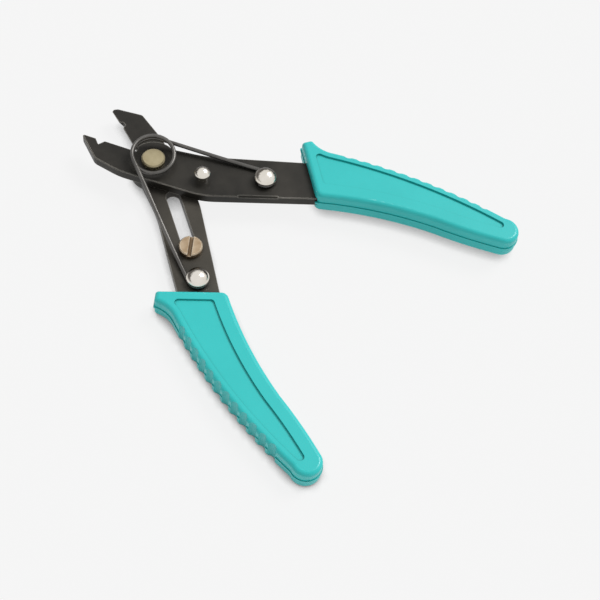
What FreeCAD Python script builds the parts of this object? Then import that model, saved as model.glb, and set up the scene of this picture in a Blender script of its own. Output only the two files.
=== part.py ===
import FreeCAD, Part
import math
import os
from FreeCAD import Vector

# Compact wire stripper and cutter, lying on its back with its jaws open.
# Millimetres. +X runs from the jaws to the handles, +Z is normal to the levers.
# Each handle is drawn in the closed pose as the upper one, with the pivot at (0, 0).
# The back lever and its parts are the same drawing turned over.

# Pose
JAW_OPEN_DEG = 35.0        # turn between the levers from closed to the open rest pose

# Levers
PLATE_T = 3.0              # lever plate
PLATE_GAP = 0.05           # running clearance between the two plates
HUB_R = 7.0                # round eye of each lever at the pivot
EDGE_BREAK = 0.2           # chamfer on the stamped plate's outer face
FRONT_GRIND = 0.5          # how far the lower jaw's ground face leans back
BACK_GRIND = 1.9           # the same on the upper jaw, ground from behind

# Handle part of the lever: (x, y, corner radius), pivot to tang and back
HANDLE_OUTER = [(0.0, 5.6, 0.0), (14.5, 7.9, 40.0), (42.0, 17.6, 12.0)]
TAIL_X = 109.3             # end of the moulding; the tang stops short of it
TANG_X = TAIL_X - 17.3
TANG = [(50.5, 19.3, 6.0), (TANG_X, 19.6, 2.8), (TANG_X, 13.8, 2.8), (58.0, 12.6, 6.0)]
FRONT_INNER = [(49.6, 6.3, 4.0), (18.0, -6.3, 25.0)]
BACK_INNER = [(49.1, 7.7, 4.0), (17.6, -5.0, 25.0)]
SEAT_BEVEL = 0.6           # bevel of the front lever's inner edge where the stop's head comes near
SEAT_FROM = 0.32           # share of the inner edge where the bevel ends, from the pivot side
SEAT_TO = 0.67

# Lower jaw (front lever): cutting edge from the tip inwards, then its back
FRONT_JAW_EDGE = [(-23.2, 0.2, 0.3), (-22.6, 1.0, 0.3), (-19.5, 1.05, 0.2),
                  (-17.5, -1.1, 0.15), (-15.8, 1.1, 0.2), (-6.0, 1.5, 0.0)]
FRONT_JAW_BACK = [(-8.0, -7.6, 20.0), (-16.4, -6.1, 3.0)]

# Upper jaw (back lever), drawn turned over like the rest of its lever
BACK_JAW_EDGE = [(-24.9, -0.9, 0.4), (-24.4, -0.1, 0.3), (-19.9, 0.1, 0.15), (-19.2, -0.9, 0.2),
                 (-18.0, -1.05, 0.2), (-17.3, 0.2, 0.2), (-6.0, 1.5, 0.0)]
BACK_JAW_BACK = [(-8.0, -7.6, 20.0), (-18.6, -7.3, 1.6), (-24.4, -2.1, 0.6)]

# Grips
GRIP_T = 8.0               # thickness of the moulding
GRIP_ROUND = 1.3           # round on its face edges
GRIP_CORNER_R = 2.2        # round of its inner front corner
HORN_R = 0.9               # round of the finger guard's corners
TAIL_R = 3.0               # round of the tail's two corners
HORN_IN = (38.8, 22.9)
HORN_OUT = (41.4, 25.0)
GUARD_MID = (44.6, 23.35)
RIB_START = (49.0, 23.1)
RIB_MID = (TAIL_X * 0.659, 24.4)
RIB_END = (TAIL_X - 5.3, 21.0)
TAIL_MID = (TAIL_X, 16.3)
TAIL_END = (TAIL_X - 3.3, 12.4)
PALM_MID = (TAIL_X * 0.878, 11.7)
PALM_HOLLOW = (TAIL_X * 0.778, 11.7)
PALM_FRONT_MID = (TAIL_X * 0.618, 10.2)
FRONT_CORNER = (49.8, 6.0)
RIDGE_H = 0.6              # parting ridge round the moulding, at mid-thickness
RIDGE_PROUD = 0.25
FLUTE_COUNT = 12
FLUTE_PITCH = 3.95         # along the ribbed side
FLUTE_FIRST = 4.6          # from the start of the ribbed side to the first flute
FLUTE_R = 1.6
FLUTE_DEPTH = 1.0
PANEL_DEPTH = 0.6          # sunk panel on both faces
PANEL_RIM = 2.2            # rim beside the ribs and at the tail
PANEL_SHIFT = (-0.6, 2.1)  # extra rim at the front and on the palm side
PANEL_CORNER_R = 1.2
TANG_CLEARANCE = 0.1       # between the tang and the grip's pocket

# Pivot rivet
RIVET_R = 2.5
RIVET_HEAD_R = 3.5
RIVET_HEAD_H = 1.5
RIVET_HEAD_BEVEL = 0.4
RIVET_TAIL_R = 3.9
RIVET_TAIL_H = 1.1
PIVOT_CLEARANCE = 0.03     # radial, front lever on the rivet

# Spring studs, one on each lever
STUD_NECK_R = 2.0
STUD_HEAD_R = 3.3
STUD_RIM_H = 0.5
STUD_DOME_H = 1.9
STUD_TENON_R = 1.5
FRONT_STUD_AT = (33.3, 6.6)
BACK_STUD_AT = (41.2, 10.4)

# Latch post on the front lever
POST_NECK_R = 1.65
POST_NECK_H = 2.6
POST_HEAD_R = 2.35
POST_HEAD_H = 1.7
POST_TENON_R = 1.2
POST_AT = (15.9, -0.3)

# Return spring
WIRE_D = 1.2
COIL_MEAN_R = 6.25
COIL_PITCH = 1.3
COIL_LIFT = 1.3            # start of the coil above the front lever, before it tilts
COIL_TILT_DEG = 6.7        # the loose coil tips towards the far side
COIL_TILT_TOWARD = 130.0   # direction of its raised side, from +X
SPRING_CLEARANCE = 0.1     # wire to stud neck, plate and stud head
HOOK_DEG = 205.0           # how far each end hooks round its stud

# Adjusting stop
SLOT_W = 4.2
SLOT_DEG = 16.5            # slot's angle to the closed tool's axis
SLOT_OFFSET = 2.75         # slot's centre line from the pivot
SLOT_START = 12.25         # centres of the slot's round ends, from the pivot
SLOT_END = 32.6
SCREW_AT = 31.5            # screw's place along the slot at rest
SCREW_D = 4.0
SCREW_HEAD_D = 6.9
SCREW_HEAD_H = 2.0
SCREW_HEAD_CHAMFER = 0.3
DRIVER_SLOT_W = 1.2
DRIVER_SLOT_DEPTH = 0.9
DRIVER_SLOT_DEG = 123.0    # driver slot's direction at rest, from +X
WASHER_R = 4.4
WASHER_T = 0.4
NUT_AF = 7.0               # across flats
NUT_T = 1.8
THREAD_CLEARANCE = 0.03    # radial, screw in nut

# Heights, worked out from the thicknesses
BACK_Z0 = (GRIP_T - PLATE_T) / 2
BACK_Z1 = BACK_Z0 + PLATE_T
FRONT_Z0 = BACK_Z1 + PLATE_GAP
FRONT_Z1 = FRONT_Z0 + PLATE_T
FRONT_GRIP_Z0 = FRONT_Z0 - BACK_Z0
WIRE_R = WIRE_D / 2
STUD_NECK_H = WIRE_D + 2 * SPRING_CLEARANCE + 0.1
CUT_MARGIN = 1.0           # how far a cutting tool runs past a face
UP = Vector(0, 0, 1)


def at(point, z=0.0):
    """A drawing point as a vector at height z."""
    return Vector(point[0], point[1], z)


def corner_ends(before, corner, after, radius):
    """Tangent points and middle of the arc that rounds one corner of an outline."""
    back = (before - corner).normalize()
    ahead = (after - corner).normalize()
    half = back.getAngle(ahead) / 2
    reach = radius / math.tan(half)
    middle = corner + (back + ahead).normalize() * (radius / math.sin(half) - radius)
    return corner + back * reach, middle, corner + ahead * reach


def rounded_face(points):
    """Flat face from (x, y, radius) corners joined by straight lines."""
    corners = [at(p) for p in points]
    runs = []
    for index, point in enumerate(points):
        corner = corners[index]
        if point[2] > 0:
            before = corners[index - 1]
            after = corners[(index + 1) % len(corners)]
            runs.append(corner_ends(before, corner, after, point[2]))
        else:
            runs.append((corner, None, corner))
    edges = []
    for index, run in enumerate(runs):
        if run[1] is not None:
            edges.append(Part.Arc(*run).toShape())
        start = run[2]
        end = runs[(index + 1) % len(runs)][0]
        edges.append(Part.LineSegment(start, end).toShape())
    return Part.Face(Part.Wire(edges))


def slab(face, z0, z1):
    """Extrude a face drawn at z = 0 from z0 to z1."""
    solid = face.extrude(Vector(0, 0, z1 - z0))
    solid.translate(Vector(0, 0, z0))
    return solid


def turned(profile):
    """Solid of revolution about Z from (radius, z) points."""
    wire = Part.makePolygon([Vector(r, 0, z) for r, z in profile + profile[:1]])
    return Part.Face(wire).revolve(Vector(0, 0, 0), UP, 360)


def moved(shape, point, z=0.0):
    """The shape carried to a drawing point."""
    shape.translate(at(point, z))
    return shape


def bore(point, radius, z0, z1):
    """Cutting tool for a round hole through a plate."""
    height = z1 - z0 + 2 * CUT_MARGIN
    return Part.makeCylinder(radius, height, at(point, z0 - CUT_MARGIN))


def open_front(shape):
    """Turn a closed-pose drawing to the front lever's open rest pose."""
    shape.rotate(Vector(0, 0, 0), UP, JAW_OPEN_DEG / 2)
    return shape


def open_back(shape):
    """The same for the back lever, whose drawing is turned over."""
    return open_front(shape).mirror(Vector(0, 0, 0), Vector(0, 1, 0))


def slot_point(distance):
    """Point of the stop slot's centre line, in the back lever's drawing."""
    angle = math.radians(SLOT_DEG)
    x = distance * math.cos(angle) + SLOT_OFFSET * math.sin(angle)
    y = distance * math.sin(angle) - SLOT_OFFSET * math.cos(angle)
    return (x, y)


def lever_blank(jaw_edge, jaw_back, inner, z0):
    """Stamped plate of one lever: jaw, handle and tang, with the round eye added."""
    points = jaw_edge + HANDLE_OUTER + TANG + inner + jaw_back
    plate = slab(rounded_face(points), z0, z0 + PLATE_T)
    eye = Part.makeCylinder(HUB_R, PLATE_T, Vector(0, 0, z0))
    return plate.fuse(eye).removeSplitter().Solids[0]


def lean_back(lever, start, end, sharp_z, open_z, depth):
    """Grind an edge wall back, from nothing at sharp_z to depth at open_z.

    The plate lies on the right of the way from start to end.
    """
    first = at(start)
    along = (at(end) - first).normalize()
    inward = Vector(along.y, -along.x, 0)
    beyond = 1 + CUT_MARGIN / abs(open_z - sharp_z)
    far = Vector(0, 0, open_z - sharp_z) * beyond
    edge = first + Vector(0, 0, sharp_z)
    outside = inward * -CUT_MARGIN
    corners = [edge, edge + far + inward * (depth * beyond), edge + far + outside, edge + outside, edge]
    wedge = Part.Face(Part.makePolygon(corners))
    return lever.cut(wedge.extrude(along * (at(end) - first).Length))


def between(start, end, share):
    """Drawing point on the straight line between two others."""
    return (start[0] + (end[0] - start[0]) * share, start[1] + (end[1] - start[1]) * share)


def ground_jaw(lever, jaw_edge, mating_z, outer_z, depth):
    """Grind a jaw's outer face, so the edge is sharp at the mating face."""
    tip = between(jaw_edge[1], jaw_edge[-1], -0.1)
    return lean_back(lever, tip, jaw_edge[-1], mating_z, outer_z, depth)


def break_outer_edges(lever, z):
    """Small chamfer round the handle part of the plate's outer face."""
    edges = []
    for edge in lever.Edges:
        box = edge.BoundBox
        flat = abs(box.ZMin - z) < 1e-6 and abs(box.ZMax - z) < 1e-6
        if flat and box.XMin > HUB_R and box.XMax < TANG[0][0]:
            edges.append(edge)
    return lever.makeChamfer(EDGE_BREAK, edges)


def front_lever():
    """Right handle and lower jaw, the lever nearer the eye."""
    lever = lever_blank(FRONT_JAW_EDGE, FRONT_JAW_BACK, FRONT_INNER, FRONT_Z0)
    lever = ground_jaw(lever, FRONT_JAW_EDGE, FRONT_Z0, FRONT_Z1, FRONT_GRIND)
    lever = break_outer_edges(lever, FRONT_Z1)
    seat = [between(FRONT_INNER[1], FRONT_INNER[0], share) for share in (SEAT_TO, SEAT_FROM)]
    lever = lean_back(lever, seat[0], seat[1], FRONT_Z1 - SEAT_BEVEL, FRONT_Z1, SEAT_BEVEL)
    holes = [bore((0, 0), RIVET_R + PIVOT_CLEARANCE, FRONT_Z0, FRONT_Z1),
             bore(FRONT_STUD_AT, STUD_TENON_R, FRONT_Z0, FRONT_Z1),
             bore(POST_AT, POST_TENON_R, FRONT_Z0, FRONT_Z1)]
    return open_front(lever.cut(holes))


def stop_slot():
    """Cutting tool for the long slot."""
    tools = [bore(slot_point(s), SLOT_W / 2, BACK_Z0, BACK_Z1) for s in (SLOT_START, SLOT_END)]
    middle = Part.makeBox(SLOT_END - SLOT_START, SLOT_W, PLATE_T + 2 * CUT_MARGIN,
                          Vector(SLOT_START, -SLOT_OFFSET - SLOT_W / 2, BACK_Z0 - CUT_MARGIN))
    middle.rotate(Vector(0, 0, 0), UP, SLOT_DEG)
    return tools[0].fuse([tools[1], middle])


def back_lever():
    """Lower handle and upper jaw, with the stop slot."""
    lever = lever_blank(BACK_JAW_EDGE, BACK_JAW_BACK, BACK_INNER, BACK_Z0)
    lever = ground_jaw(lever, BACK_JAW_EDGE, BACK_Z1, BACK_Z0, BACK_GRIND)
    lever = break_outer_edges(lever, BACK_Z0)
    holes = [bore((0, 0), RIVET_R, BACK_Z0, BACK_Z1),
             bore(BACK_STUD_AT, STUD_TENON_R, BACK_Z0, BACK_Z1),
             stop_slot()]
    return open_back(lever.cut(holes))


def arc(start, middle, end):
    """Arc edge through three drawing points."""
    return Part.Arc(at(start), at(middle), at(end)).toShape()


def line(start, end):
    """Straight edge between two drawing points."""
    return Part.LineSegment(at(start), at(end)).toShape()


def grip_face():
    """Outline of the moulding, with the finger guard at its front."""
    edges = [line(FRONT_CORNER, HORN_IN),
             line(HORN_IN, HORN_OUT),
             arc(HORN_OUT, GUARD_MID, RIB_START),
             arc(RIB_START, RIB_MID, RIB_END),
             arc(RIB_END, TAIL_MID, TAIL_END),
             arc(TAIL_END, PALM_MID, PALM_HOLLOW),
             arc(PALM_HOLLOW, PALM_FRONT_MID, FRONT_CORNER)]
    return Part.Face(Part.Wire(edges))


def upright_edges(solid, point):
    """Upright edges of a solid that stand over one drawing point."""
    found = []
    for edge in solid.Edges:
        centre = edge.BoundBox.Center
        upright = edge.BoundBox.ZLength > edge.BoundBox.XLength + edge.BoundBox.YLength
        if upright and math.hypot(centre.x - point[0], centre.y - point[1]) < 0.01:
            found.append(edge)
    return found


def flute_tools():
    """Round cutters for the finger flutes, evenly along the ribbed side."""
    centre = arc(RIB_START, RIB_MID, RIB_END).Curve.Center
    start = at(RIB_START) - centre
    ring = start.Length + FLUTE_R - FLUTE_DEPTH
    tools = []
    for index in range(FLUTE_COUNT):
        swept = (FLUTE_FIRST + index * FLUTE_PITCH) / start.Length
        angle = math.atan2(start.y, start.x) - swept
        place = centre + Vector(math.cos(angle), math.sin(angle), 0) * ring
        tools.append(bore((place.x, place.y), FLUTE_R, 0, GRIP_T))
    return tools


def panel_tool(face):
    """Cutter for the sunk panel of one face, standing on z = 0."""
    core = face.makeOffset2D(-PANEL_RIM - PANEL_CORNER_R)
    shifted = core.copy()
    shifted.translate(at(PANEL_SHIFT))
    panel = core.common(shifted).Faces[0].makeOffset2D(PANEL_CORNER_R)
    return slab(panel, 0, PANEL_DEPTH + CUT_MARGIN)


def tang_pocket(z0):
    """Cutter for the pocket that takes either lever's tang."""
    shoulder = HANDLE_OUTER[1][:2] + (0.0,)
    heel = FRONT_INNER[1][:2] + (0.0,)
    handle = rounded_face([shoulder, HANDLE_OUTER[2]] + TANG + [FRONT_INNER[0], heel])
    grown = handle.makeOffset2D(TANG_CLEARANCE)
    return slab(grown, z0 - TANG_CLEARANCE, z0 + PLATE_T + TANG_CLEARANCE)


def grip():
    """Handle moulding on z = 0, the same one for both levers."""
    face = grip_face()
    body = slab(face, 0, GRIP_T)
    body = body.makeFillet(HORN_R, upright_edges(body, HORN_IN) + upright_edges(body, HORN_OUT))
    body = body.makeFillet(GRIP_CORNER_R, upright_edges(body, FRONT_CORNER))
    body = body.makeFillet(TAIL_R, upright_edges(body, RIB_END) + upright_edges(body, TAIL_END))
    flat = [e for e in body.Edges if e.BoundBox.ZLength < 1e-6]
    body = body.makeFillet(GRIP_ROUND, flat)
    ridge = slab(face.makeOffset2D(RIDGE_PROUD), (GRIP_T - RIDGE_H) / 2, (GRIP_T + RIDGE_H) / 2)
    body = body.fuse(ridge)
    top_panel = panel_tool(face)
    bottom_panel = top_panel.copy()
    top_panel.translate(Vector(0, 0, GRIP_T - PANEL_DEPTH))
    bottom_panel.translate(Vector(0, 0, -CUT_MARGIN))
    return body.cut(flute_tools() + [top_panel, bottom_panel, tang_pocket(BACK_Z0)])


def front_grip():
    """Grip on the front lever's tang."""
    body = grip()
    body.translate(Vector(0, 0, FRONT_GRIP_Z0))
    return open_front(body)


def back_grip():
    """The same grip turned over, on the back lever's tang."""
    return open_back(grip())


def pivot_rivet():
    """Rivet through both levers, flat head in front and formed tail behind."""
    top = FRONT_Z1 + RIVET_HEAD_H
    tail = BACK_Z0 - RIVET_TAIL_H
    profile = [(0, tail), (RIVET_TAIL_R - RIVET_TAIL_H / 2, tail), (RIVET_TAIL_R, tail + RIVET_TAIL_H / 2),
               (RIVET_TAIL_R, BACK_Z0), (RIVET_R, BACK_Z0), (RIVET_R, FRONT_Z1),
               (RIVET_HEAD_R, FRONT_Z1), (RIVET_HEAD_R, top - RIVET_HEAD_BEVEL),
               (RIVET_HEAD_R - RIVET_HEAD_BEVEL, top), (0, top)]
    return turned(profile)


def domed_pin(tenon_r, neck_r, neck_h, head_r, rim_h, dome_h):
    """Pin with a domed head: z = 0 is the plate's top, the tenon fills the plate."""
    rim_z = neck_h + rim_h
    dome_r = (head_r ** 2 + dome_h ** 2) / (2 * dome_h)
    centre = Vector(0, 0, rim_z + dome_h - dome_r)
    lean = math.asin(head_r / dome_r) / 2
    flank = centre + Vector(math.sin(lean), 0, math.cos(lean)) * dome_r
    dome = Part.Arc(Vector(head_r, 0, rim_z), flank, Vector(0, 0, rim_z + dome_h))
    lines = [(0, rim_z + dome_h), (0, -PLATE_T), (tenon_r, -PLATE_T), (tenon_r, 0), (neck_r, 0),
             (neck_r, neck_h), (head_r, neck_h), (head_r, rim_z)]
    outline = Part.makePolygon([Vector(r, 0, z) for r, z in lines])
    wire = Part.Wire(outline.Edges + [dome.toShape()])
    return Part.Face(wire).revolve(Vector(0, 0, 0), UP, 360)


def spring_stud():
    """Domed stud that a spring end hooks round."""
    return domed_pin(STUD_TENON_R, STUD_NECK_R, STUD_NECK_H, STUD_HEAD_R, STUD_RIM_H, STUD_DOME_H)


def front_spring_stud():
    """Spring stud of the front lever."""
    return open_front(moved(spring_stud(), FRONT_STUD_AT, FRONT_Z1))


def back_spring_stud():
    """Spring stud of the back lever."""
    return open_back(moved(spring_stud(), BACK_STUD_AT, BACK_Z1))


def latch_post():
    """Mushroom post beside the coil."""
    rim = POST_HEAD_H / 4
    post = domed_pin(POST_TENON_R, POST_NECK_R, POST_NECK_H, POST_HEAD_R, rim, POST_HEAD_H - rim)
    return open_front(moved(post, POST_AT, FRONT_Z1))


def arm_normal_deg(stud, side):
    """Direction in which coil and hook both touch the arm; side is 1 or -1."""
    hook_r = STUD_NECK_R + SPRING_CLEARANCE + WIRE_R
    away = math.acos((COIL_MEAN_R - hook_r) / math.hypot(stud.x, stud.y))
    return math.degrees(math.atan2(stud.y, stud.x) + side * away)


def round_point(centre, radius, angle_deg, z):
    """Point at height z on a circle about an upright axis."""
    angle = math.radians(angle_deg)
    return Vector(centre.x + radius * math.cos(angle), centre.y + radius * math.sin(angle), z)


def hook_points(stud, z, start_deg, turn):
    """Start, middle and end of the wire bent round a stud's neck; turn is 1 or -1."""
    radius = STUD_NECK_R + SPRING_CLEARANCE + WIRE_R
    return [round_point(stud, radius, start_deg + turn * share * HOOK_DEG, z) for share in (0, 0.5, 1)]


def heading(normal_deg, slope):
    """Direction of the wire, from front to back, where the coil or a hook passes into an arm."""
    angle = math.radians(normal_deg)
    return Vector(-math.sin(angle), math.cos(angle), slope)


def spring_arm(start, start_heading, end, end_heading):
    """Centre line of an arm, straight from above and eased at both ends from the side."""
    third = (end - start).Length / 3
    curve = Part.BezierCurve()
    curve.setPoles([start, start + start_heading * third, end - end_heading * third, end])
    return curve.toShape()


def torsion_spring():
    """Return spring: one wire coiled round the rivet's head, with an arm hooked on each stud."""
    opening = FreeCAD.Rotation(UP, JAW_OPEN_DEG / 2)
    front_stud = opening.multVec(at(FRONT_STUD_AT))
    back_stud = opening.multVec(at(BACK_STUD_AT))
    back_stud.y = -back_stud.y
    front_deg = arm_normal_deg(front_stud, 1)
    back_deg = arm_normal_deg(back_stud, -1)
    turned_deg = 360 + (360 + back_deg - front_deg)
    height = COIL_PITCH * turned_deg / 360
    slope = COIL_PITCH / (2 * math.pi * COIL_MEAN_R)
    low_z = FRONT_Z1 + COIL_LIFT + WIRE_R
    middle = Vector(0, 0, low_z + height / 2)
    toward = math.radians(COIL_TILT_TOWARD)
    tilt = FreeCAD.Rotation(Vector(math.sin(toward), -math.cos(toward), 0), COIL_TILT_DEG)

    coil = Part.makeHelix(COIL_PITCH, height, COIL_MEAN_R)
    coil.rotate(Vector(0, 0, 0), UP, front_deg)
    coil.translate(Vector(0, 0, low_z))
    coil.rotate(middle, tilt.Axis, COIL_TILT_DEG)
    low = round_point(Vector(0, 0, 0), COIL_MEAN_R, front_deg, low_z)
    high = round_point(Vector(0, 0, 0), COIL_MEAN_R, back_deg, low_z + height)
    coil_start = middle + tilt.multVec(low - middle)
    coil_end = middle + tilt.multVec(high - middle)
    leave = tilt.multVec(heading(front_deg, slope))
    arrive = tilt.multVec(heading(back_deg, slope))

    front_hook = hook_points(front_stud, FRONT_Z1 + SPRING_CLEARANCE + WIRE_R, front_deg, -1)
    back_hook = hook_points(back_stud, BACK_Z1 + SPRING_CLEARANCE + WIRE_R, back_deg, 1)
    front_arm = spring_arm(front_hook[0], heading(front_deg, 0), coil_start, leave)
    back_arm = spring_arm(coil_end, arrive, back_hook[0], heading(back_deg, 0))
    edges = [Part.Arc(*reversed(front_hook)).toShape(), front_arm] + coil.Edges
    path = Part.Wire(edges + [back_arm, Part.Arc(*back_hook).toShape()])
    section = Part.Wire(Part.makeCircle(WIRE_R, front_hook[2], heading(front_deg - HOOK_DEG, 0)))
    return path.makePipeShell([section], True, False)


def stop_place(shape, z):
    """Carry a stop piece, turned about Z, to its rest place in the slot."""
    return open_back(moved(shape, slot_point(SCREW_AT), z))


def stop_screw():
    """Cheese-head screw of the adjustable stop, down to the nut's back face."""
    reach = PLATE_T + WASHER_T + NUT_T
    top = SCREW_HEAD_H
    profile = [(0, -reach), (SCREW_D / 2, -reach), (SCREW_D / 2, 0), (SCREW_HEAD_D / 2, 0),
               (SCREW_HEAD_D / 2, top - SCREW_HEAD_CHAMFER),
               (SCREW_HEAD_D / 2 - SCREW_HEAD_CHAMFER, top), (0, top)]
    screw = turned(profile)
    length = SCREW_HEAD_D + 2 * CUT_MARGIN
    slot = Part.makeBox(length, DRIVER_SLOT_W, DRIVER_SLOT_DEPTH + CUT_MARGIN,
                        Vector(-length / 2, -DRIVER_SLOT_W / 2, top - DRIVER_SLOT_DEPTH))
    slot.rotate(Vector(0, 0, 0), UP, -DRIVER_SLOT_DEG - JAW_OPEN_DEG / 2)
    return stop_place(screw.cut(slot), BACK_Z1)


def stop_washer():
    """Plain washer behind the slot."""
    washer = Part.makeCylinder(WASHER_R, WASHER_T)
    washer = washer.cut(bore((0, 0), SCREW_D / 2 + THREAD_CLEARANCE, 0, WASHER_T))
    return stop_place(washer, BACK_Z0 - WASHER_T)


def stop_nut():
    """Thin hexagon nut that clamps the stop, corners chamfered."""
    corner = NUT_AF / math.sqrt(3)
    angles = [math.radians(60 * k) for k in range(7)]
    hexagon = [Vector(corner * math.cos(a), corner * math.sin(a), 0) for a in angles]
    nut = Part.Face(Part.makePolygon(hexagon)).extrude(Vector(0, 0, NUT_T))
    chamfer = corner - NUT_AF / 2
    cone = turned([(0, 0), (NUT_AF / 2, 0), (corner + chamfer, chamfer), (corner + chamfer, NUT_T), (0, NUT_T)])
    nut = nut.common(cone).cut(bore((0, 0), SCREW_D / 2 + THREAD_CLEARANCE, 0, NUT_T))
    return stop_place(nut, BACK_Z0 - WASHER_T - NUT_T)


def build():
    """All pieces by node name, pivot at (0, 0)."""
    makers = [front_lever, back_lever, front_grip, back_grip, pivot_rivet, front_spring_stud,
              back_spring_stud, latch_post, torsion_spring, stop_screw, stop_washer, stop_nut]
    return {maker.__name__: maker() for maker in makers}


def main():
    """Put the origin under the middle of the tool's box and write each piece."""
    pieces = build()
    box = Part.makeCompound(list(pieces.values())).optimalBoundingBox(False)
    pivot_x = -(box.XMin + box.XMax) / 2
    os.makedirs("parts", exist_ok=True)
    for name, shape in pieces.items():
        shape.translate(Vector(pivot_x, 0, 0))
        shape.exportStep("parts/" + name + ".step")
        print(name, len(shape.Solids), "solid", round(shape.Volume, 1), "mm3", "valid", shape.isValid())
    stop = open_back(Part.Vertex(at(slot_point(SCREW_AT)))).Point
    print("pivot at x", round(pivot_x, 4), "stop screw at", round(stop.x + pivot_x, 4), round(stop.y, 4))
    print("box", [round(v, 3) for v in (box.XLength, box.YLength, box.ZLength)], "y", round(box.YMin, 3))


if __name__ == "__main__":
    main()
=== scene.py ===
"""Looks of a compact wire stripper that lies open on a pale floor.

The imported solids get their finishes, the return spring is made again so that its
arms follow the levers, and a studio with the camera is set up around them.
"""

import logging
import math
from abc import ABC, abstractmethod
from dataclasses import dataclass, field, replace
from enum import Enum

import bpy
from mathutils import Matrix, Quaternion, Vector


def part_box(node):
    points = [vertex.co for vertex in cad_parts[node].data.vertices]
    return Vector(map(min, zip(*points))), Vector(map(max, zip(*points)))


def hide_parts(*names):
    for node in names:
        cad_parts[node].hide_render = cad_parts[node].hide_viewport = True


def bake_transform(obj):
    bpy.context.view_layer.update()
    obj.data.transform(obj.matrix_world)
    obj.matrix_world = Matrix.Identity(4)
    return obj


LOG = logging.getLogger("wire_stripper")
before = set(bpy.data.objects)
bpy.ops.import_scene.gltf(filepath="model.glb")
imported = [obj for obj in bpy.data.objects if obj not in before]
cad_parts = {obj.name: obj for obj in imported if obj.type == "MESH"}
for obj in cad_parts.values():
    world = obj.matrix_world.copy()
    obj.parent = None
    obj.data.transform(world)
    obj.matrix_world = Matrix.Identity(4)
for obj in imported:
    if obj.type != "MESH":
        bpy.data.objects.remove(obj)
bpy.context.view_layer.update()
MM = 0.001
FULL_TURN = 360.0
UP = Vector((0.0, 0.0, 1.0))
Colour = tuple[float, float, float]
Socket = bpy.types.NodeSocket


class Body(Enum):
    """Bodies that the return spring is held by."""

    BACK = "back_half"
    FRONT = "front_half"


class Slot(Enum):
    """Name of a material slot for the spring; no piece here is given it."""

    SPRING = "spring_steel"


class Hand(Enum):
    """Side of a line, or way round a circle, as seen from above."""

    LEFT = 1
    RIGHT = -1


class NodeBench:
    """Adds and joins the nodes of one node tree."""

    MIX_FACTOR, MIX_FIRST, MIX_SECOND, MIX_RESULT = 0, 6, 7, 2

    def __init__(self, tree: bpy.types.NodeTree) -> None:
        """Start on an empty tree.

        Args:
            tree: The tree that the nodes go into; what it holds is cleared.
        """
        self.tree = tree
        tree.nodes.clear()

    def add(self, kind: str, sockets: dict | None = None, **settings: object) -> bpy.types.Node:
        """Add one node.

        Args:
            kind: The node's type name.
            sockets: Values, or output sockets to join, by input name or number.
            **settings: Properties set on the node itself.

        Returns:
            The new node.
        """
        node = self.tree.nodes.new(kind)
        for name, value in settings.items():
            setattr(node, name, value)
        for name, value in (sockets or {}).items():
            if isinstance(value, Socket):
                self.tree.links.new(value, node.inputs[name])
            else:
                node.inputs[name].default_value = value
        return node

    def math(self, operation: str, first: object, second: object) -> Socket:
        """Add a math node.

        Args:
            operation: Its operation, such as MULTIPLY.
            first: First number or socket.
            second: Second number or socket.

        Returns:
            The result's socket.
        """
        return self.add("ShaderNodeMath", {0: first, 1: second}, operation=operation).outputs[0]

    def ramp(self, value: Socket, low: float, high: float,
             to_low: float = 0.0, to_high: float = 1.0) -> Socket:
        """Map a value from one range to another, clamped.

        Args:
            value: Socket to map.
            low: Value that gives to_low.
            high: Value that gives to_high.
            to_low: Result at low.
            to_high: Result at high.

        Returns:
            The mapped socket.
        """
        sockets = {"Value": value, "From Min": low, "From Max": high, "To Min": to_low, "To Max": to_high}
        return self.add("ShaderNodeMapRange", sockets, clamp=True).outputs["Result"]

    def spread(self, value: Socket, low: float, high: float) -> Socket:
        """Spread a value from 0 to 1 over another range."""
        return self.ramp(value, 0.0, 1.0, low, high)

    def blend(self, factor: Socket, first: Socket | Colour, second: Socket | Colour) -> Socket:
        """Mix two colours.

        Args:
            factor: Share of the second colour.
            first: First colour or socket.
            second: Second colour or socket.

        Returns:
            The mixed colour's socket.
        """
        node = self.add("ShaderNodeMix", {self.MIX_FACTOR: factor}, data_type="RGBA")
        for number, value in ((self.MIX_FIRST, first), (self.MIX_SECOND, second)):
            if isinstance(value, Socket):
                self.tree.links.new(value, node.inputs[number])
            else:
                node.inputs[number].default_value = (*value, 1.0)
        return node.outputs[self.MIX_RESULT]


@dataclass(frozen=True)
class Marking:
    """Noise that one kind of mark comes from.

    Attributes:
        detail: How many finer layers the noise has.
        weight: Weight of the finer layers.
        faint: Noise at which the mark starts.
        full: Noise at which the mark is full.
    """

    detail: float
    weight: float
    faint: float
    full: float

    def mask(self, bench: NodeBench, place: Socket, scale: Socket) -> Socket:
        """Add the noise.

        Args:
            bench: Tree that it goes into.
            place: Place that the noise is read at.
            scale: Cycles a metre.

        Returns:
            The mark's mask, from 0 to 1.
        """
        noise = bench.add("ShaderNodeTexNoise", {"Vector": place, "Scale": scale,
                                                 "Detail": self.detail, "Roughness": self.weight})
        return bench.ramp(noise.outputs[0], self.faint, self.full)


CLOUD = Marking(detail=4.0, weight=0.55, faint=0.3, full=0.7)
GRAIN = Marking(detail=3.0, weight=0.6, faint=0.25, full=0.75)
SCRATCH = Marking(detail=2.0, weight=0.5, faint=0.62, full=0.74)
SCRATCH_SLANT = (0.0, 0.0, 0.6)
SCRATCH_CROWDING = (1.0, 14.0, 1.0)


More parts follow.
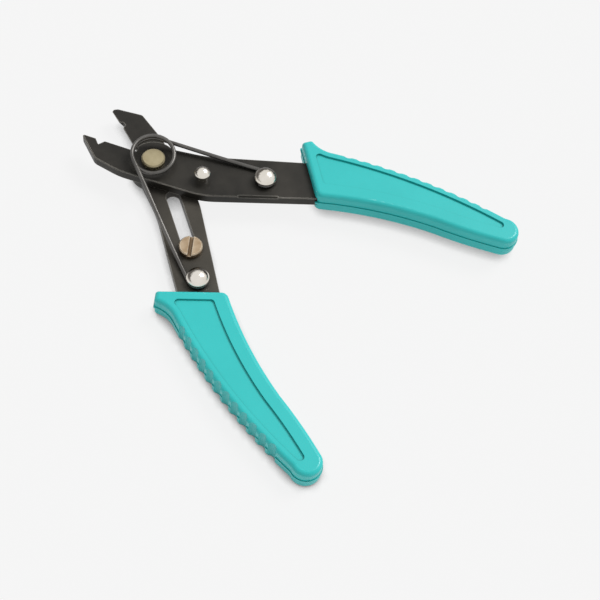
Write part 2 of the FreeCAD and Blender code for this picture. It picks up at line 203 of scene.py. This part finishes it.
def worked_surface_group() -> bpy.types.NodeTree:
    """Node group of marks that every finish has, each at its own scale.

    Returns:
        The group, with outputs Cloud, Grain and Scratch from 0 to 1.
    """
    name = "worked_surface"
    if name in bpy.data.node_groups:
        return bpy.data.node_groups[name]
    tree = bpy.data.node_groups.new(name, "ShaderNodeTree")
    bench = NodeBench(tree)
    tree.interface.new_socket("Vector", in_out="INPUT", socket_type="NodeSocketVector")
    for label in ("Cloud", "Grain", "Scratch"):
        tree.interface.new_socket(f"{label} Scale", in_out="INPUT", socket_type="NodeSocketFloat")
        tree.interface.new_socket(label, in_out="OUTPUT", socket_type="NodeSocketFloat")
    given = bench.add("NodeGroupInput").outputs
    place = given["Vector"]
    slanted = bench.add("ShaderNodeMapping", {"Vector": place, "Rotation": SCRATCH_SLANT,
                                              "Scale": SCRATCH_CROWDING}).outputs[0]
    bench.add("NodeGroupOutput", {"Cloud": CLOUD.mask(bench, place, given["Cloud Scale"]),
                                  "Grain": GRAIN.mask(bench, place, given["Grain Scale"]),
                                  "Scratch": SCRATCH.mask(bench, slanted, given["Scratch Scale"])})
    return tree


EDGE_SAMPLES = 4
FLAT_AGREEMENT = 0.998
EDGE_AGREEMENT = 0.93


def worn_edge_and_highlight_group() -> bpy.types.NodeTree:
    """Node group that finds outside edges, where a rounded normal leaves the true one.

    Returns:
        The group, with the output Mask from 0 to 1, broken up the way worn metal is; the same mask carries
        a painted edge highlight.
    """
    name = "worn_edge"
    if name in bpy.data.node_groups:
        return bpy.data.node_groups[name]
    tree = bpy.data.node_groups.new(name, "ShaderNodeTree")
    bench = NodeBench(tree)
    tree.interface.new_socket("Break Up", in_out="INPUT", socket_type="NodeSocketFloat")
    tree.interface.new_socket("Radius", in_out="INPUT", socket_type="NodeSocketFloat")
    tree.interface.new_socket("Mask", in_out="OUTPUT", socket_type="NodeSocketFloat")
    given = bench.add("NodeGroupInput").outputs
    rounded = bench.add("ShaderNodeBevel", {"Radius": given["Radius"]}, samples=EDGE_SAMPLES).outputs[0]
    true_normal = bench.add("ShaderNodeNewGeometry").outputs["True Normal"]
    agree = bench.add("ShaderNodeVectorMath", {0: rounded, 1: true_normal}, operation="DOT_PRODUCT")
    edge = bench.ramp(agree.outputs["Value"], FLAT_AGREEMENT, EDGE_AGREEMENT)
    bench.add("NodeGroupOutput", {"Mask": bench.math("MULTIPLY", edge, given["Break Up"])})
    return tree


@dataclass(frozen=True)
class Effect(ABC):
    """Another colour that shows on a share of a finish.

    Attributes:
        colour: That colour.
    """

    colour: Colour

    @abstractmethod
    def share(self, bench: NodeBench, marks: bpy.types.Node) -> Socket:
        """Find where the effect shows.

        Args:
            bench: The material's tree.
            marks: The finish's marks.

        Returns:
            The effect's share, from 0 to 1.
        """


@dataclass(frozen=True)
class RubbedEnd(Effect):
    """Lighter end of a plate, where hands have rubbed it.

    Attributes:
        span: Where along X it starts and where it is full, in metres.
        least: Share that the surface's clouds leave.
    """

    span: tuple[float, float] = (-36.0 * MM, -20.0 * MM)
    least: float = 0.55

    def share(self, bench: NodeBench, marks: bpy.types.Node) -> Socket:
        """Find where the plate is rubbed.

        Args:
            bench: The material's tree.
            marks: The finish's marks.

        Returns:
            The rubbed share, from 0 to 1.
        """
        place = bench.add("ShaderNodeTexCoord").outputs["Object"]
        along = bench.add("ShaderNodeSeparateXYZ", {0: place}).outputs["X"]
        uneven = bench.spread(marks.outputs["Cloud"], self.least, 1.0)
        return bench.math("MULTIPLY", bench.ramp(along, *self.span), uneven)


@dataclass(frozen=True)
class WornEdgesAndHighlight(Effect):
    """Bright outside edges: partly worn bare metal, partly a painted highlight where the edges catch the
    light.

    Attributes:
        radius: How far the worn metal and painted highlight reach from an edge, in metres.
        least: Share that the surface's clouds leave.
    """

    radius: float = 0.4 * MM
    least: float = 0.35

    def share(self, bench: NodeBench, marks: bpy.types.Node) -> Socket:
        """Find the worn edges and their painted highlight.

        Args:
            bench: The material's tree.
            marks: The finish's marks.

        Returns:
            The share of worn metal and painted highlight, from 0 to 1.
        """
        wear_and_highlight = bench.add("ShaderNodeGroup", node_tree=worn_edge_and_highlight_group())
        broken = bench.spread(marks.outputs["Cloud"], self.least, 1.0)
        bench.tree.links.new(broken, wear_and_highlight.inputs["Break Up"])
        wear_and_highlight.inputs["Radius"].default_value = self.radius
        return wear_and_highlight.outputs["Mask"]


@dataclass(frozen=True)
class PaintedHollowShade(Effect):
    """Painted shade: darker colour in grooves, slots and where pieces meet, where shade falls.

    Attributes:
        reach: How near a wall has to be, in metres.
        shut: Openness at which the hollow is darkest.
        clear: Openness at which nothing of it shows.
        samples: Rays that the openness is taken from.
    """

    reach: float = 4.0 * MM
    shut: float = 0.15
    clear: float = 0.75
    samples: int = 6

    def share(self, bench: NodeBench, marks: bpy.types.Node) -> Socket:
        """Find where the painted shade goes.

        Args:
            bench: The material's tree.
            marks: The finish's marks; not used here.

        Returns:
            The painted shade's share, from 0 to 1.
        """
        near = bench.add("ShaderNodeAmbientOcclusion", {"Distance": self.reach}, samples=self.samples)
        return bench.ramp(near.outputs["AO"], self.clear, self.shut)


@dataclass(frozen=True)
class PaintedDomeReflection(Effect):
    """Painted reflection: a dark band inside the bright rim of a polished dome, broader on one side.

    Attributes:
        rim: Upward part of the normal at which the band starts, and is full, inside the rim.
        crown: Upward part of the normal at which the band is still full, and ends.
        toward: Direction of the broader side.
        lean: How much broader that side is.
        ragged: How far the grain moves the band's inner border.
        least: Share that the surface's clouds leave.
    """

    rim: tuple[float, float] = (0.60, 0.70)
    crown: tuple[float, float] = (0.80, 0.90)
    toward: tuple[float, float, float] = (-0.80, 0.60, 0.0)
    lean: float = 0.40
    ragged: float = 0.07
    least: float = 0.85

    def share(self, bench: NodeBench, marks: bpy.types.Node) -> Socket:
        """Find the painted reflection's band from the way that the surface faces.

        Args:
            bench: The material's tree.
            marks: The finish's marks.

        Returns:
            The band's share, from 0 to 1.
        """
        facing = bench.add("ShaderNodeTexCoord").outputs["Normal"]
        rise = bench.add("ShaderNodeSeparateXYZ", {0: facing}).outputs["Z"]
        aside = bench.add("ShaderNodeVectorMath", {0: facing, 1: self.toward}, operation="DOT_PRODUCT")
        leant = bench.math("SUBTRACT", rise, bench.math("MULTIPLY", aside.outputs["Value"], self.lean))
        uneven = bench.spread(marks.outputs["Grain"], -self.ragged, self.ragged)
        still_full, ended = self.crown
        below_crown = bench.ramp(bench.math("ADD", leant, uneven), ended, still_full)
        band = bench.math("MULTIPLY", bench.ramp(rise, *self.rim), below_crown)
        return bench.math("MULTIPLY", band, bench.spread(marks.outputs["Cloud"], self.least, 1.0))


@dataclass(frozen=True)
class Finish:
    """A surface finish.

    Attributes:
        name: The material's name.
        colour: Colour where the surface's clouds are thin.
        second_colour: Colour where they are thick.
        metallic: Metallic share.
        roughness: Roughness between grains and on them.
        cloud_scale: Clouds, in cycles a metre.
        grain_scale: Grain, in cycles a metre.
        grain_height: Height of the grain, in metres.
        scratch_scale: Scratches, in cycles a metre.
        scratch_depth: Depth of the scratches, in metres.
        coat: Weight of the oil or gloss on top.
        coat_roughness: Its roughness.
        specular: Level of the plain reflection.
        effects: Colours laid over the first two, in order.
    """

    name: str
    colour: Colour
    second_colour: Colour
    metallic: float
    roughness: tuple[float, float]
    cloud_scale: float
    grain_scale: float
    grain_height: float
    scratch_scale: float = 420.0
    scratch_depth: float = 0.0
    coat: float = 0.0
    coat_roughness: float = 0.2
    specular: float = 0.5
    effects: tuple[Effect, ...] = ()

    def material(self) -> bpy.types.Material:
        """Build the finish's material, once.

        Returns:
            The material.
        """
        if self.name in bpy.data.materials:
            return bpy.data.materials[self.name]
        material = bpy.data.materials.new(self.name)
        material.use_nodes = True
        bench = NodeBench(material.node_tree)
        marks = self.marks(bench)
        colour = bench.blend(marks.outputs["Cloud"], self.colour, self.second_colour)
        for effect in self.effects:
            colour = bench.blend(effect.share(bench, marks), colour, effect.colour)
        shader = bench.add("ShaderNodeBsdfPrincipled", {
            "Base Color": colour, "Metallic": self.metallic, "Specular IOR Level": self.specular,
            "Roughness": bench.spread(marks.outputs["Grain"], *self.roughness),
            "Coat Weight": self.coat, "Coat Roughness": self.coat_roughness,
            "Normal": self.relief(bench, marks)})
        bench.add("ShaderNodeOutputMaterial", {"Surface": shader.outputs[0]})
        return material

    def marks(self, bench: NodeBench) -> bpy.types.Node:
        """Add the finish's marks, which lie fast on the piece.

        Args:
            bench: The material's tree.

        Returns:
            The node with the outputs Cloud, Grain and Scratch.
        """
        marks = bench.add("ShaderNodeGroup", node_tree=worked_surface_group())
        place = bench.add("ShaderNodeTexCoord").outputs["Object"]
        bench.tree.links.new(place, marks.inputs["Vector"])
        marks.inputs["Cloud Scale"].default_value = self.cloud_scale
        marks.inputs["Grain Scale"].default_value = self.grain_scale
        marks.inputs["Scratch Scale"].default_value = self.scratch_scale
        return marks

    def relief(self, bench: NodeBench, marks: bpy.types.Node) -> Socket:
        """Add the grain's and the scratches' relief.

        Args:
            bench: The material's tree.
            marks: The finish's marks.

        Returns:
            The normal's socket.
        """
        height = bench.math("MULTIPLY", marks.outputs["Grain"], self.grain_height)
        if self.scratch_depth:
            cut = bench.math("MULTIPLY", marks.outputs["Scratch"], -self.scratch_depth)
            height = bench.math("ADD", height, cut)
        return bench.add("ShaderNodeBump", {"Strength": 1.0, "Distance": 1.0, "Height": height}).outputs[0]


# Blackened steel; its darkened hollows by the spring, studs, post and grips are painted shade.
BLACK_STEEL = Finish(
    name="blackened_oiled_steel", colour=(0.012, 0.011, 0.0088), second_colour=(0.036, 0.0325, 0.0265),
    metallic=0.35, roughness=(0.36, 0.52), cloud_scale=90.0, grain_scale=2600.0,
    grain_height=0.004 * MM, scratch_depth=0.003 * MM, coat=0.08, coat_roughness=0.3, specular=0.26,
    # Bright edges: worn bare metal together with a painted edge highlight.
    effects=(WornEdgesAndHighlight((0.36, 0.34, 0.30)), PaintedHollowShade((0.005, 0.0045, 0.004))))
RUBBED_STEEL = replace(
    BLACK_STEEL, name="rubbed_blackened_steel",
    effects=(RubbedEnd((0.078, 0.070, 0.056)), *BLACK_STEEL.effects))
GRIP_TEAL = Finish(
    name="satin_teal_moulding", colour=(0.022, 0.600, 0.585), second_colour=(0.028, 0.640, 0.625),
    metallic=0.0, roughness=(0.38, 0.52), cloud_scale=70.0, grain_scale=3200.0,
    grain_height=0.006 * MM, coat=0.25, coat_roughness=0.16, specular=0.4,
    # Darker flutes and panel edges: painted shade.
    effects=(PaintedHollowShade((0.0, 0.24, 0.225), reach=1.2 * MM, shut=0.3, clear=0.85),))
NICKEL = Finish(
    name="polished_nickel", colour=(0.80, 0.76, 0.70), second_colour=(0.72, 0.68, 0.60),
    metallic=1.0, roughness=(0.12, 0.22), cloud_scale=220.0, grain_scale=2400.0,
    # Dark band on the studs and post heads: a painted reflection.
    grain_height=0.002 * MM, effects=(PaintedDomeReflection((0.05, 0.04, 0.032)),))
RIVET_NICKEL = Finish(
    name="dull_nickel_rivet", colour=(0.42, 0.365, 0.235), second_colour=(0.33, 0.28, 0.17),
    metallic=1.0, roughness=(0.36, 0.52), cloud_scale=260.0, grain_scale=1800.0,
    grain_height=0.006 * MM)
SPRING_WIRE = Finish(
    name="oiled_spring_wire", colour=(0.085, 0.081, 0.076), second_colour=(0.14, 0.134, 0.125),
    metallic=0.85, roughness=(0.30, 0.44), cloud_scale=160.0, grain_scale=2600.0,
    grain_height=0.003 * MM)
SCREW_BRASS = Finish(
    name="dull_plated_screw", colour=(0.33, 0.235, 0.145), second_colour=(0.46, 0.36, 0.25),
    metallic=0.9, roughness=(0.34, 0.50), cloud_scale=420.0, grain_scale=2000.0,
    grain_height=0.005 * MM,
    # Bright rim of the screw head: a painted edge highlight.
    effects=(WornEdgesAndHighlight((0.80, 0.74, 0.62), radius=0.3 * MM),
             # Dark slot in the screw head: painted shade.
             PaintedHollowShade((0.09, 0.054, 0.026), reach=1.5 * MM, shut=0.5, clear=0.92)))
ZINC = Finish(
    name="zinc_plated_steel", colour=(0.52, 0.52, 0.50), second_colour=(0.60, 0.60, 0.57),
    metallic=1.0, roughness=(0.28, 0.42), cloud_scale=200.0, grain_scale=2000.0,
    grain_height=0.004 * MM)


def pivot_place() -> Vector:
    """Middle of the rivet on the floor, in metres."""
    low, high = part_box("pivot_rivet")
    return Vector(((low.x + high.x) / 2, (low.y + high.y) / 2, 0.0))


def dress(node: str, finish: Finish) -> None:
    """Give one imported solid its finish.

    Args:
        node: The solid's name.
        finish: The finish that covers it.
    """
    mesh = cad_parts[node].data
    mesh.materials.clear()
    mesh.materials.append(finish.material())
    LOG.info("%s: %s", node, finish.name)


@dataclass
class Lever:
    """One half of the tool: the stamped plate, its moulded grip and its spring stud."""

    plate: str
    grip: str
    stud: str
    plate_finish: Finish = BLACK_STEEL
    grip_finish: Finish = GRIP_TEAL
    stud_finish: Finish = NICKEL

    def build(self) -> None:
        """Dress the half's three solids."""
        dress(self.plate, self.plate_finish)
        dress(self.grip, self.grip_finish)
        dress(self.stud, self.stud_finish)


@dataclass
class Pivot:
    """Rivet through both levers and the post beside the coil."""

    rivet: str = "pivot_rivet"
    post: str = "latch_post"

    def build(self) -> None:
        """Dress the rivet and the post."""
        dress(self.rivet, RIVET_NICKEL)
        dress(self.post, NICKEL)


@dataclass
class AdjustingStop:
    """Screw, washer and nut that slide together in the slot."""

    screw: str = "stop_screw"
    washer: str = "stop_washer"
    nut: str = "stop_nut"

    def build(self) -> None:
        """Dress the stop's three solids."""
        dress(self.screw, SCREW_BRASS)
        dress(self.washer, ZINC)
        dress(self.nut, ZINC)


@dataclass
class ReturnSpring:
    """Torsion spring whose coil lies round the rivet and whose arms hook on the studs.

    Lengths are in millimetres, as in the solid that the spring stands for, and places
    are measured from the floor under the pivot.

    Attributes:
        wire_radius: Radius of the wire.
        coil_radius: Radius of the coil's centre line.
        coil_pitch: Rise of one turn.
        coil_start_z: Height of the centre line at the coil's low end, before it is tilted.
        tilt_degrees: Tilt of the coil.
        tilt_toward: Direction of its high side, from +X.
        hook_radius: Radius of a hook's centre line.
        hook_degrees: Turn of a hook round its stud.
        front_wire_z: Height of the centre line at the front stud.
        back_wire_z: Height of the centre line at the back stud.
        step_degrees: Turn between two points of a coil or a hook.
        arm_steps: Straight stretches that an arm is made of.
        wire_sides: Sides of the wire's section.
    """

    wire_radius: float = 0.6
    coil_radius: float = 6.25
    coil_pitch: float = 1.3
    coil_start_z: float = 10.45
    tilt_degrees: float = 6.7
    tilt_toward: float = 130.0
    hook_radius: float = 2.7
    hook_degrees: float = 205.0
    front_wire_z: float = 9.25
    back_wire_z: float = 6.2
    step_degrees: float = 10.0
    arm_steps: int = 14
    wire_sides: int = 16

    def stud_centre(self, node: str) -> Vector:
        """Middle of a stud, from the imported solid."""
        low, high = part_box(node)
        return ((low + high) / 2 - pivot_place()) / MM

    def arm_normal(self, stud: Vector, side: Hand) -> float:
        """Angle at which coil and hook both touch the arm.

        Args:
            stud: The stud's middle.
            side: The arm's side of the line from the pivot to the stud.

        Returns:
            The angle from +X, in degrees.
        """
        away = math.acos((self.coil_radius - self.hook_radius) / math.hypot(stud.x, stud.y))
        return math.degrees(math.atan2(stud.y, stud.x) + side.value * away)

    def ring_point(self, centre: Vector, radius: float, degrees: float, z: float) -> Vector:
        """Point at height z on a circle about an upright axis."""
        angle = math.radians(degrees)
        return Vector((centre.x + radius * math.cos(angle), centre.y + radius * math.sin(angle), z))

    def heading(self, degrees: float, rise: float) -> Vector:
        """Direction of the wire, from front to back, at an angle round the coil or a hook."""
        angle = math.radians(degrees)
        return Vector((-math.sin(angle), math.cos(angle), rise))

    def hook(self, stud: Vector, z: float, start: float, way: Hand) -> list[Vector]:
        """Centre line of the wire round one stud.

        Args:
            stud: The stud's middle.
            z: The wire's height.
            start: Angle where the arm ends, in degrees.
            way: Way round the stud, away from the arm.

        Returns:
            The points, from the arm on.
        """
        steps = round(self.hook_degrees / self.step_degrees)
        angles = [start + way.value * self.hook_degrees * k / steps for k in range(steps + 1)]
        return [self.ring_point(stud, self.hook_radius, a, z) for a in angles]

    def arm(self, start: Vector, start_way: Vector, end: Vector, end_way: Vector) -> list[Vector]:
        """Centre line of one arm, eased at both ends as seen from the side.

        Args:
            start: Where it starts.
            start_way: The wire's direction there.
            end: Where it ends.
            end_way: The wire's direction there.

        Returns:
            The points between its ends.
        """
        third = (end - start).length / 3
        after_start, before_end = start + start_way * third, end - end_way * third
        points = []
        for k in range(1, self.arm_steps):
            t = k / self.arm_steps
            s = 1 - t
            eased = 3 * s * s * t * after_start + 3 * s * t * t * before_end
            points.append(s ** 3 * start + eased + t ** 3 * end)
        return points

    def tilt(self) -> Quaternion:
        """Turn that tilts the coil."""
        toward = math.radians(self.tilt_toward)
        return Quaternion((math.sin(toward), -math.cos(toward), 0.0), math.radians(self.tilt_degrees))

    def coil(self, start: float, turned: float) -> list[Vector]:
        """Centre line of the tilted coil.

        Args:
            start: Angle of its low end, in degrees.
            turned: Degrees that it turns, upwards.

        Returns:
            The points from the low end to the high one.
        """
        rise = self.coil_pitch * turned / FULL_TURN
        middle = UP * (self.coil_start_z + rise / 2)
        tilt = self.tilt()
        steps = round(turned / self.step_degrees)
        points = []
        for k in range(steps + 1):
            share = k / steps
            level = self.ring_point(Vector(), self.coil_radius, start + turned * share,
                                    self.coil_start_z + rise * share)
            points.append(middle + tilt @ (level - middle))
        return points

    def centre_line(self) -> list[Vector]:
        """Centre line of the whole wire.

        Returns:
            The points from the front stud to the back one, in metres.
        """
        front = self.stud_centre("front_spring_stud")
        back = self.stud_centre("back_spring_stud")
        front_deg, back_deg = self.arm_normal(front, Hand.LEFT), self.arm_normal(back, Hand.RIGHT)
        coil = self.coil(front_deg, 2 * FULL_TURN + back_deg - front_deg)
        front_hook = self.hook(front, self.front_wire_z, front_deg, Hand.RIGHT)
        back_hook = self.hook(back, self.back_wire_z, back_deg, Hand.LEFT)

        slope = self.coil_pitch / (2 * math.pi * self.coil_radius)
        into_coil = self.tilt() @ self.heading(front_deg, slope)
        out_of_coil = self.tilt() @ self.heading(back_deg, slope)
        front_arm = self.arm(front_hook[0], self.heading(front_deg, 0), coil[0], into_coil)
        back_arm = self.arm(coil[-1], out_of_coil, back_hook[0], self.heading(back_deg, 0))
        line = [*reversed(front_hook), *front_arm, *coil, *back_arm, *back_hook]
        return [pivot_place() + point * MM for point in line]

    def wire_tree(self) -> bpy.types.NodeTree:
        """Geometry tree that thickens a chain of edges into round wire.

        Returns:
            The tree, with inputs for the wire's radius, sides and material.
        """
        tree = bpy.data.node_groups.new("drawn_wire", "GeometryNodeTree")
        tree.interface.new_socket("Geometry", in_out="INPUT", socket_type="NodeSocketGeometry")
        tree.interface.new_socket("Wire Radius", in_out="INPUT", socket_type="NodeSocketFloat")
        tree.interface.new_socket("Sides", in_out="INPUT", socket_type="NodeSocketInt")
        tree.interface.new_socket("Finish", in_out="INPUT", socket_type="NodeSocketMaterial")
        tree.interface.new_socket("Geometry", in_out="OUTPUT", socket_type="NodeSocketGeometry")
        bench = NodeBench(tree)
        given = bench.add("NodeGroupInput").outputs
        line = bench.add("GeometryNodeMeshToCurve", {0: given["Geometry"]}).outputs[0]
        section = bench.add("GeometryNodeCurvePrimitiveCircle", {"Resolution": given["Sides"],
                                                                 "Radius": given["Wire Radius"]})
        wire = bench.add("GeometryNodeCurveToMesh", {"Curve": line, "Profile Curve": section.outputs[0],
                                                     "Fill Caps": True}).outputs[0]
        wire = bench.add("GeometryNodeRealizeInstances", {"Geometry": wire}).outputs[0]
        dressed = bench.add("GeometryNodeSetMaterial", {"Geometry": wire, "Material": given["Finish"]})
        bench.add("NodeGroupOutput", {"Geometry": dressed.outputs[0]})
        return tree

    def wire_mesh(self) -> bpy.types.Mesh:
        """Draw the wire along its centre line.

        Returns:
            The wire's mesh, smooth but for its two ends.
        """
        points = self.centre_line()
        mesh = bpy.data.meshes.new("return_spring_line")
        mesh.from_pydata(points, [(k, k + 1) for k in range(len(points) - 1)], [])
        maker = bpy.data.objects.new("return_spring_line", mesh)
        bpy.context.scene.collection.objects.link(maker)
        modifier = maker.modifiers.new("wire", "NODES")
        modifier.node_group = self.wire_tree()
        names = {item.name: item.identifier for item in modifier.node_group.interface.items_tree
                 if item.in_out == "INPUT"}
        modifier[names["Wire Radius"]] = self.wire_radius * MM
        modifier[names["Sides"]] = self.wire_sides
        modifier[names["Finish"]] = SPRING_WIRE.material()
        made = bpy.data.meshes.new_from_object(maker.evaluated_get(bpy.context.evaluated_depsgraph_get()))
        bpy.data.objects.remove(maker)
        made.name = "return_spring"
        for face in made.polygons:
            face.use_smooth = len(face.vertices) < self.wire_sides
        return made

    def build(self) -> None:
        """Make the wire and hide the imported spring."""
        made = self.wire_mesh()
        spring = bpy.data.objects.new("return_spring", made)
        bpy.context.scene.collection.objects.link(spring)
        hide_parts("torsion_spring")
        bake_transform(spring)
        LOG.info("return_spring: %d faces, bends between the levers", len(made.polygons))


@dataclass
class Studio:
    """Pale floor, soft light from the far side and the photograph's camera.

    Lengths are in metres and angles in degrees. The camera's places are measured from
    the floor under the pivot.

    Attributes:
        floor_half: Half of the floor's side.
        floor_colour: Colour of the floor and of the sky that is seen.
        glow_share: Share of the floor that shows its own level instead of the light on it.
        contact_reach: How near a piece has to be for the painted contact shadow on the floor.
        contact_shut: Openness at which the floor is darkest.
        contact_clear: Openness at which it is not darkened.
        contact_dark: What is left where the painted contact shadow is darkest.
        contact_samples: Rays that the openness is taken from.
        ambient: Level of the sky's light.
        sun_strength: Level of the lamp.
        sun_softness: Width of the lamp in the sky.
        sun_from: Direction of the lamp.
        camera_place: The camera's place.
        camera_aim: Where it looks.
        camera_roll: Its turn about its view.
        lens: Its focal length, in millimetres.
        clip: Nearest and farthest distance that it shows.
    """

    floor_half: float = 3.0
    floor_colour: Colour = (0.925, 0.925, 0.925)
    glow_share: float = 0.93
    contact_reach: float = 5.0 * MM
    contact_shut: float = 0.38
    contact_clear: float = 0.74
    contact_dark: float = 0.25
    contact_samples: int = 8
    ambient: float = 0.42
    sun_strength: float = 1.9
    sun_softness: float = 26.0
    sun_from: Vector = field(default_factory=lambda: Vector((0.25, 0.85, 1.05)))
    camera_place: Vector = field(default_factory=lambda: Vector((0.16487, -0.18112, 0.33089)))
    camera_aim: Vector = field(default_factory=lambda: Vector((0.06072, -0.00535, 0.0)))
    camera_roll: float = 8.54
    lens: float = 80.4
    clip: tuple[float, float] = (0.01, 20.0)

    def build(self) -> None:
        """Make the floor, the light, the camera and the sky."""
        self.floor()
        self.light()
        self.camera()
        self.world()
        bpy.context.scene.view_settings.view_transform = "Standard"

    def seen_directly(self, bench: NodeBench) -> Socket:
        """Tell looking at the floor or the sky from being lit by it.

        Args:
            bench: Tree that it goes into.

        Returns:
            A socket that is 1 for a look, straight, mirrored or through something, or else 0.
        """
        seen = bench.add("ShaderNodeLightPath").outputs
        shown = bench.math("MAXIMUM", seen["Is Camera Ray"], seen["Is Glossy Ray"])
        return bench.math("MAXIMUM", shown, seen["Is Transmission Ray"])

    def floor_material(self) -> bpy.types.Material:
        """Plain pale finish that keeps a faint shadow, with a painted contact shadow where the tool rests
        on it.

        Returns:
            The material.
        """
        material = bpy.data.materials.new("pale_floor")
        material.use_nodes = True
        bench = NodeBench(material.node_tree)
        colour = (*self.floor_colour, 1.0)
        lit = bench.add("ShaderNodeBsdfDiffuse", {"Color": colour})
        near = bench.add("ShaderNodeAmbientOcclusion", {"Distance": self.contact_reach},
                         samples=self.contact_samples)
        # Painted contact shadow: the floor's own glow is darkened near the tool.
        level = bench.ramp(near.outputs["AO"], self.contact_shut, self.contact_clear, self.contact_dark)
        glow = bench.add("ShaderNodeEmission", {"Color": colour, "Strength": level})
        seen = bench.math("MULTIPLY", self.seen_directly(bench), self.glow_share)
        mix = bench.add("ShaderNodeMixShader", {0: seen, 1: lit.outputs[0], 2: glow.outputs[0]})
        bench.add("ShaderNodeOutputMaterial", {"Surface": mix.outputs[0]})
        return material

    def floor(self) -> None:
        """Floor that the tool lies on."""
        mesh = bpy.data.meshes.new("floor")
        half = self.floor_half
        corners = [(-half, -half, 0), (half, -half, 0), (half, half, 0), (-half, half, 0)]
        mesh.from_pydata(corners, [], [(0, 1, 2, 3)])
        mesh.materials.append(self.floor_material())
        floor = bpy.data.objects.new("floor", mesh)
        bpy.context.scene.collection.objects.link(floor)

    def light(self) -> None:
        """One soft lamp, high on the far side."""
        lamp = bpy.data.lights.new("window", "SUN")
        lamp.energy = self.sun_strength
        lamp.angle = math.radians(self.sun_softness)
        holder = bpy.data.objects.new("window", lamp)
        holder.rotation_euler = self.sun_from.to_track_quat("Z", "Y").to_euler()
        bpy.context.scene.collection.objects.link(holder)

    def camera(self) -> None:
        """Camera at the photograph's place and tilt."""
        data = bpy.data.cameras.new("camera")
        data.lens = self.lens
        data.clip_start, data.clip_end = self.clip
        camera = bpy.data.objects.new("camera", data)
        bpy.context.scene.collection.objects.link(camera)
        aim = (self.camera_aim - self.camera_place).to_track_quat("-Z", "Y")
        camera.rotation_mode = "QUATERNION"
        camera.rotation_quaternion = aim @ Quaternion(UP, math.radians(self.camera_roll))
        camera.location = pivot_place() + self.camera_place
        bpy.context.scene.camera = camera

    def world(self) -> None:
        """Even sky that lights softly and shows as the pale background."""
        world = bpy.data.worlds.new("studio")
        world.use_nodes = True
        bench = NodeBench(world.node_tree)
        soft = bench.add("ShaderNodeBackground", {"Color": (1.0, 1.0, 1.0, 1.0), "Strength": self.ambient})
        plain = bench.add("ShaderNodeBackground", {"Color": (*self.floor_colour, 1.0), "Strength": 1.0})
        seen = self.seen_directly(bench)
        mix = bench.add("ShaderNodeMixShader", {0: seen, 1: soft.outputs[0], 2: plain.outputs[0]})
        bench.add("ShaderNodeOutputWorld", {"Surface": mix.outputs[0]})
        bpy.context.scene.world = world


def main() -> None:
    """Build the tool's parts in order, then the studio."""
    logging.basicConfig(level=logging.INFO, format="%(name)s: %(message)s")
    Lever("front_lever", "front_grip", "front_spring_stud").build()
    Lever("back_lever", "back_grip", "back_spring_stud", plate_finish=RUBBED_STEEL).build()
    Pivot().build()
    AdjustingStop().build()
    ReturnSpring().build()
    Studio().build()


if __name__ == "__main__":
    main()
